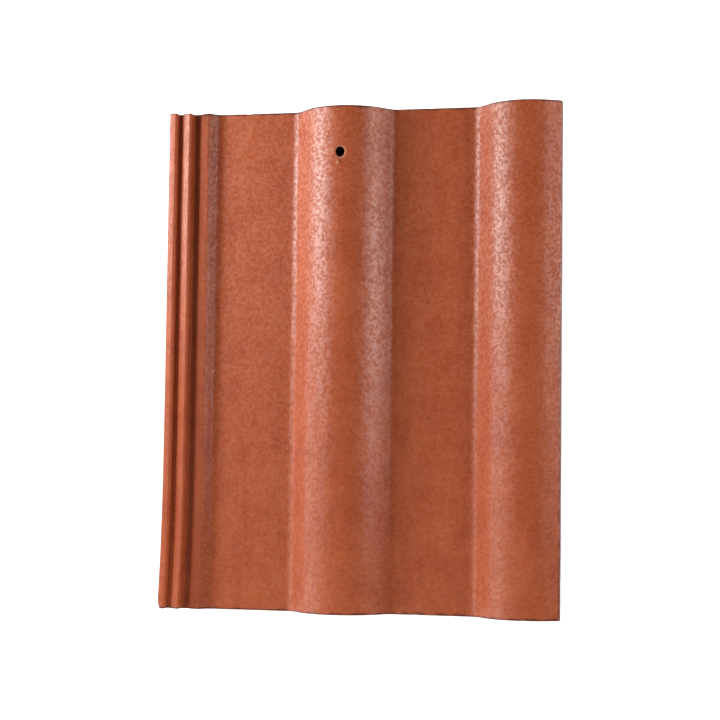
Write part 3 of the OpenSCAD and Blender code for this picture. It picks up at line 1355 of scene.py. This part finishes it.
@dataclass
class NailHole:
    """The nail hole near the head, with the dimple and the crumb that the punch left, in metres.

    Attributes:
        mouth: middle of the hole on the weather side.
        radius: radius of the true hole.
        dimple_radius: radius of the dimple on the weather side.
        dimple_floor: radius of the dimple at its floor.
        dimple_shift: distance of the dimple's middle from the mouth, across and along the tile.
        crumb_offset: distance of the crumb's middle from the mouth, across and along the tile.
        crumb_shape: stretch of the crumb across, along and upwards.
        oval: stretch of the hole across and along the tile.
        slip: distance by which the hole has slipped towards the tail.
        wall_reach: radius within which faces belong to the hole's wall, in hole radii.
    """

    mouth: Place
    radius: float
    dimple_radius: float = 0.0057
    dimple_floor: float = 0.0024
    dimple_depth: float = 0.0013
    dimple_shift: tuple[float, float] = (0.0011, -0.0007)
    crumb_radius: float = 0.0016
    crumb_offset: tuple[float, float] = (-0.0014, -0.0091)
    crumb_shape: Place = (1.1, 1.3, 0.8)
    crumb_rounds: int = 3
    oval: tuple[float, float] = (0.94, 1.08)
    slip: float = 0.0005
    wall_reach: float = 1.02
    sides: int = 56

    def cut(self, writer: TreeWriter, body: Socket) -> Socket:
        """Adds the crumb to a closed body and cuts the hole with its dimple.

        Args:
            writer: writer of the geometry tree.
            body: socket of the closed body.

        Returns:
            Socket of the body with its hole.
        """
        x, y, z = self.mouth
        ball = {"Radius": self.crumb_radius, "Subdivisions": self.crumb_rounds}
        crumb = writer.add("GeometryNodeMeshIcoSphere", ball).outputs[0]
        spot = (x + self.crumb_offset[0], y + self.crumb_offset[1], z)
        set_down = {"Geometry": crumb, "Translation": spot, "Scale": self.crumb_shape}
        crumb = writer.add("GeometryNodeTransform", set_down).outputs[0]
        joined = writer.add("GeometryNodeMeshBoolean", operation="UNION", solver="MANIFOLD")
        for piece in (body, crumb):
            writer.feed(joined.inputs["Mesh 2"], piece)
        punch = {"Vertices": self.sides, "Side Segments": 1, "Radius": self.radius, "Depth": 2 * z}
        tool = writer.add("GeometryNodeMeshCylinder", punch, fill_type="NGON").outputs[0]
        widened = {"Geometry": tool, "Translation": (x, y - self.slip, z), "Scale": (*self.oval, 1.0)}
        tool = writer.add("GeometryNodeTransform", widened).outputs[0]
        flare = {
            "Vertices": self.sides,
            "Radius Top": 2 * self.dimple_radius - self.dimple_floor,
            "Radius Bottom": self.dimple_floor,
            "Depth": 2 * self.dimple_depth,
        }
        dimple = writer.add("GeometryNodeMeshCone", flare, fill_type="NGON").outputs[0]
        middle = (x + self.dimple_shift[0], y + self.dimple_shift[1], z - self.dimple_depth)
        sunk = {"Geometry": dimple, "Translation": middle}
        dimple = writer.add("GeometryNodeTransform", sunk).outputs[0]
        whole = {"Mesh 1": joined.outputs[0]}
        holed = writer.add("GeometryNodeMeshBoolean", whole, operation="DIFFERENCE", solver="MANIFOLD")
        for piece in (tool, dimple):
            writer.feed(holed.inputs["Mesh 2"], piece)
        return holed.outputs[0]

    def wall_faces(self, writer: TreeWriter) -> Socket:
        """Picks the faces of the hole's wall, which take the near-black clay that paints the shade inside the
        hole.

        Args:
            writer: writer of the geometry tree.

        Returns:
            Socket that is true on those faces.
        """
        here = writer.add("GeometryNodeInputPosition").outputs[0]
        away = writer.vector("SUBTRACT", here, (self.mouth[0], self.mouth[1] - self.slip, 0.0))
        across, along = self.oval
        flat = writer.vector("MULTIPLY", away, (1 / across, 1 / along, 0.0))
        return writer.math("LESS_THAN", writer.vector("LENGTH", flat), self.radius * self.wall_reach)


@dataclass
class RoofTile:
    """The whole fired piece: body, nibs, weather bars and nail hole in one mesh.

    Attributes:
        sharp_angle: angle from which an edge is drawn sharp, in radians.
        end_reach: distance from an end within which its cut faces lie, in metres.
        end_facing: least share of a cut face's normal that points along the tile.
        coat_level: level of the weather attribute above which a face is coated.
        rib_level: level of the ribs attribute above which a face is on the outer ribs.
        groove_shade_level: level of the groove-shade attribute above which a face gets the darker clay that
            paints the shade in the inner groove.
    """

    section: TileSection
    body: TileBody
    nibs: HangingNibs
    bars: WeatherBars
    hole: NailHole
    sharp_angle: float = math.radians(42)
    end_reach: float = 0.0015
    end_facing: float = 0.8
    coat_level: float = 0.05
    rib_level: float = 0.4
    groove_shade_level: float = 0.5

    @classmethod
    def from_frame(cls, packed: Mapping[str, Any]) -> "RoofTile":
        """Takes the tile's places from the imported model.


        Returns:
            The tile, not yet built.
        """
        low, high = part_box(NODE_NAME)
        mounts = {m["name"]: m for m in packed["record"]["mounts"]}
        openings = {o["name"]: o["box_m"] for o in packed["record"]["physics"]["openings"]}
        section = TileSection(packed["nodes"][NODE_NAME], groove=openings["inner_groove"][0][0])
        body = TileBody(length=high.y - low.y, left_edge=low.x)
        left, right = (mounts["batten_face_" + side]["pos_m"] for side in ("left", "right"))
        underside = mounts["pan_underside"]["pos_m"][2]
        nibs = HangingNibs(left=left[0], right=right[0], face=left[1], root_level=underside)
        x, y, _ = mounts["nail_hole"]["pos_m"]
        radius = mounts["nail_hole"]["dims"]["r_mm"] / MM_PER_METRE
        hole = NailHole(mouth=(x, y, section.height_at(x)), radius=radius)
        return cls(section, body, nibs, WeatherBars(tail=low.y), hole)

    def build(self) -> bpy.types.Object:
        """Makes the tile's one mesh with its finishes.

        Returns:
            The finished object.
        """
        effects = SurfaceEffects.build()
        half_sizes = (CAD_BOX[1].x, self.body.length / 2)
        clays = {finish: finish.value.build(effects, *half_sizes) for finish in Finish}
        raw = clays[Finish.RAW]
        tile = self.section.build()
        self.body.build(tile, raw)
        helpers = [self.nibs.build(raw), self.bars.build(self.section, raw)]
        self.join_pieces(tile, helpers, clays)
        make_plain(tile)
        for helper in helpers:
            bpy.data.objects.remove(helper)
        return tile

    def join_pieces(
        self,
        tile: bpy.types.Object,
        helpers: Sequence[bpy.types.Object],
        clays: Mapping[Finish, bpy.types.Material],
    ) -> None:
        """Puts the tree on the tile that joins its pieces and gives each face its finish.

        Args:
            tile: object with the swept body.
            helpers: objects of the nibs and the bars.
            clays: material of each finish.
        """
        pieces = dict(zip(("Nibs", "Bars"), helpers))
        kinds = {
            "Body": SocketKind.GEOMETRY,
            **dict.fromkeys(pieces, SocketKind.OBJECT),
            **{finish.name.title(): SocketKind.MATERIAL for finish in clays},
        }
        made = {"Tile": SocketKind.GEOMETRY}
        writer, inputs, outputs = new_tree("fired_piece", TreeKind.GEOMETRY, kinds, made)
        joined = writer.add("GeometryNodeMeshBoolean", operation="UNION", solver="MANIFOLD")
        writer.feed(joined.inputs["Mesh 2"], inputs["Body"])
        for name in pieces:
            info = writer.add("GeometryNodeObjectInfo", {"Object": inputs[name]}, transform_space="RELATIVE")
            writer.feed(joined.inputs["Mesh 2"], info.outputs["Geometry"])
        piece = self.hole.cut(writer, joined.outputs[0])
        piece = writer.add("GeometryNodeSetShadeSmooth", {"Geometry": piece}, domain="FACE").outputs[0]
        angle = writer.add("GeometryNodeInputMeshEdgeAngle").outputs["Unsigned Angle"]
        sharp = writer.math("GREATER_THAN", angle, self.sharp_angle)
        edges = {"Geometry": piece, "Selection": sharp, "Shade Smooth": False}
        piece = writer.add("GeometryNodeSetShadeSmooth", edges, domain="EDGE").outputs[0]
        piece = writer.add("GeometryNodeRealizeInstances", {0: piece}).outputs[0]
        faces = {
            # Faces without the weather attribute keep the paler raw clay; on the crumb and the dimple round
            # the hole it is partly bare clay and partly a painted highlight
            Finish.RAW: True,
            Finish.COAT: writer.math("GREATER_THAN", writer.attribute(WEATHER), self.coat_level),
            Finish.RIBS: writer.math("GREATER_THAN", writer.attribute(RIBS), self.rib_level),
            # The inner groove gets the darker clay of painted shade
            Finish.LAP: writer.math("GREATER_THAN", writer.attribute(LAP), self.groove_shade_level),
            Finish.CUT: self.end_faces(writer),
            # The hole's wall gets the near-black clay of painted shade
            Finish.PUNCHED: self.hole.wall_faces(writer),
        }
        for finish, selection in faces.items():
            paint = {"Geometry": piece, "Selection": selection, "Material": inputs[finish.name.title()]}
            piece = writer.add("GeometryNodeSetMaterial", paint).outputs[0]
        writer.feed(outputs["Tile"], piece)
        materials = {finish.name.title(): clay for finish, clay in clays.items()}
        add_modifier(tile, writer.tree, {**pieces, **materials})

    def end_faces(self, writer: TreeWriter) -> Socket:
        """Picks the faces of the two cut ends.

        Args:
            writer: writer of the geometry tree.

        Returns:
            Socket that is true on those faces.
        """
        _, y, _ = writer.split(writer.add("GeometryNodeInputPosition").outputs[0])
        _, along, _ = writer.split(writer.add("GeometryNodeInputNormal").outputs[0])
        near = writer.math("GREATER_THAN", writer.math("ABSOLUTE", y), self.body.length / 2 - self.end_reach)
        facing = writer.math("GREATER_THAN", writer.math("ABSOLUTE", along), self.end_facing)
        return writer.math("MULTIPLY", near, facing)


@dataclass(frozen=True)
class SoftLamp:
    """A white rectangular studio lamp, in metres and watts."""

    name: str
    place: Place
    aim: Place
    width: float
    height: float
    power: float

    @classmethod
    def level(cls, name: str, place: Place, width: float, height: float, power: float) -> "SoftLamp":
        """Sets up a lamp that shines level across the tile."""
        return cls(name, place, (0.0, place[1], place[2]), width, height, power)

    def build(self) -> None:
        """Makes the lamp."""
        data = bpy.data.lights.new(self.name, "AREA")
        data.shape = "RECTANGLE"
        data.size, data.size_y = self.width, self.height
        data.energy = self.power
        lamp = bpy.data.objects.new(self.name, data)
        lamp.location = self.place
        lamp.rotation_euler = (Vector(self.aim) - Vector(self.place)).to_track_quat("-Z", "Y").to_euler()
        bpy.context.scene.collection.objects.link(lamp)


@dataclass
class Studio:
    """White floor, soft lamps, and the camera above the tile's right side, in metres.

    Attributes:
        focal_pixels: focal length, in pixels of the image.
        image_pixels: width of the image, in pixels.
        sensor: width of the camera's sensor, in millimetres.
        floor_tone: brightness of the floor's own colour.
        floor_glow: brightness that makes up for what the lamps leave dark on the floor.
        painted_shadow_reach: distance from the tile's edge inwards over which the floor is painted dark, a
            painted shadow under the tile.
    """

    eye: Place = (0.28852, -0.08924, 1.40873)
    view_axis: Place = (-0.20458, 0.06280, -0.97683)
    view_up: Place = (0.00022, 0.99793, 0.06424)
    focal_pixels: float = 1698.5
    image_pixels: float = 720.0
    sensor: float = 36.0
    floor_size: float = 12.0
    floor_tone: float = 0.8
    floor_roughness: float = 0.9
    floor_glow: float = 0.88
    painted_shadow_reach: float = 0.02
    lamps: tuple[SoftLamp, ...] = (
        SoftLamp.level("left_low_head", (-0.85, 0.25, 0.17), 0.35, 0.3, 0.76),
        SoftLamp.level("left_low_tail", (-0.85, -0.1, 0.17), 0.35, 0.3, 1.01),
        SoftLamp.level("left_middle_tail", (-0.85, -0.5, 0.49), 0.35, 0.34, 2.81),
        SoftLamp.level("left_high_far", (-0.85, 0.6, 0.88), 0.35, 0.44, 1.51),
        SoftLamp.level("left_high_head", (-0.85, 0.25, 0.88), 0.35, 0.44, 4.77),
        SoftLamp.level("right_low", (0.9, 0.15, 0.17), 0.35, 0.12, 2.6),
        SoftLamp.level("right_middle_far", (0.9, 0.55, 0.49), 0.35, 0.2, 1.63),
        SoftLamp.level("right_middle_head", (0.9, 0.15, 0.49), 0.35, 0.2, 1.91),
        SoftLamp.level("left_close", (-0.5, 0.25, 0.28), 0.25, 0.18, 2.49),
        SoftLamp("tail", (0.0, -0.8, 0.6), (0.0, 0.0, 0.04), 0.4, 0.25, 3.97),
    )

    def build(self) -> None:
        """Makes the floor, the lamps, the surroundings and the camera."""
        self.build_floor()
        for lamp in self.lamps:
            lamp.build()
        self.build_surroundings()
        self.build_camera()
        bpy.context.scene.view_settings.view_transform = "Standard"

    def build_floor(self) -> None:
        """Makes the white floor, which keeps a faint shadow of the tile and is painted black under the tile
        as a painted shadow.
        """
        half = self.floor_size / 2
        corners = [(-half, -half, 0.0), (half, -half, 0.0), (half, half, 0.0), (-half, half, 0.0)]
        mesh = bpy.data.meshes.new("floor")
        mesh.from_pydata(corners, [], [(0, 1, 2, 3)])
        floor = bpy.data.objects.new("floor", mesh)
        bpy.context.scene.collection.objects.link(floor)
        material = bpy.data.materials.new("white_floor")
        material.use_nodes = True
        writer = TreeWriter(material.node_tree)
        shader = material.node_tree.nodes["Principled BSDF"]
        writer.feed(shader.inputs["Roughness"], self.floor_roughness)
        writer.feed(shader.inputs["Emission Color"], WHITE)
        rays = writer.add("ShaderNodeLightPath").outputs
        seen = writer.math("ADD", rays["Is Camera Ray"], rays["Is Glossy Ray"], clamp=True)
        # Painted shadow: the floor's colour and glow fade to black under the tile's footprint
        x, y, _ = writer.split(writer.add("ShaderNodeTexCoord").outputs["Object"])
        beyond = [
            writer.math("SUBTRACT", writer.math("ABSOLUTE", place), half_side)
            for place, half_side in ((x, CAD_BOX[1].x), (y, CAD_BOX[1].y))
        ]
        outside_painted_shadow = writer.ease(writer.math("MAXIMUM", *beyond), -self.painted_shadow_reach, 0.0)
        shade = writer.math("MULTIPLY", outside_painted_shadow, self.floor_tone)
        writer.feed(shader.inputs["Base Color"], writer.join(shade, shade, shade))
        glow = writer.math("MULTIPLY", writer.math("MULTIPLY", seen, outside_painted_shadow), self.floor_glow)
        writer.feed(shader.inputs["Emission Strength"], glow)
        mesh.materials.append(material)

    def build_surroundings(self) -> None:
        """Makes the white world, which the camera sees but which gives no light."""
        world = bpy.data.worlds.new("studio")
        world.use_nodes = True
        bpy.context.scene.world = world
        writer = TreeWriter(world.node_tree)
        background = world.node_tree.nodes["Background"]
        rays = writer.add("ShaderNodeLightPath").outputs
        writer.feed(background.inputs["Color"], WHITE)
        writer.feed(background.inputs["Strength"], rays["Is Camera Ray"])

    def build_camera(self) -> None:
        """Makes the camera at the photograph's viewing angle."""
        data = bpy.data.cameras.new("camera")
        data.sensor_width = self.sensor
        data.lens = self.focal_pixels / self.image_pixels * self.sensor
        camera = bpy.data.objects.new("camera", data)
        axis, up = Vector(self.view_axis).normalized(), Vector(self.view_up)
        right = axis.cross(up).normalized()
        turn = Matrix((right, right.cross(axis), -axis)).transposed()
        camera.matrix_world = Matrix.Translation(self.eye) @ turn.to_4x4()
        bpy.context.scene.collection.objects.link(camera)
        bpy.context.scene.camera = camera


def main() -> None:
    """Builds the tile and its studio in order, and reports each piece."""
    logging.basicConfig(level=logging.INFO, format="%(name)s: %(message)s")
    tile = RoofTile.from_frame(frame).build()
    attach(tile, BODY_NAME)
    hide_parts(NODE_NAME)
    tile.data.calc_loop_triangles()
    triangles, finishes = len(tile.data.loop_triangles), len(tile.data.materials)
    LOG.info("%s: %d triangles, %d finishes", tile.name, triangles, finishes)
    Studio().build()
    LOG.info("studio: floor, lamps and camera in place")


if __name__ == "__main__":
    main()
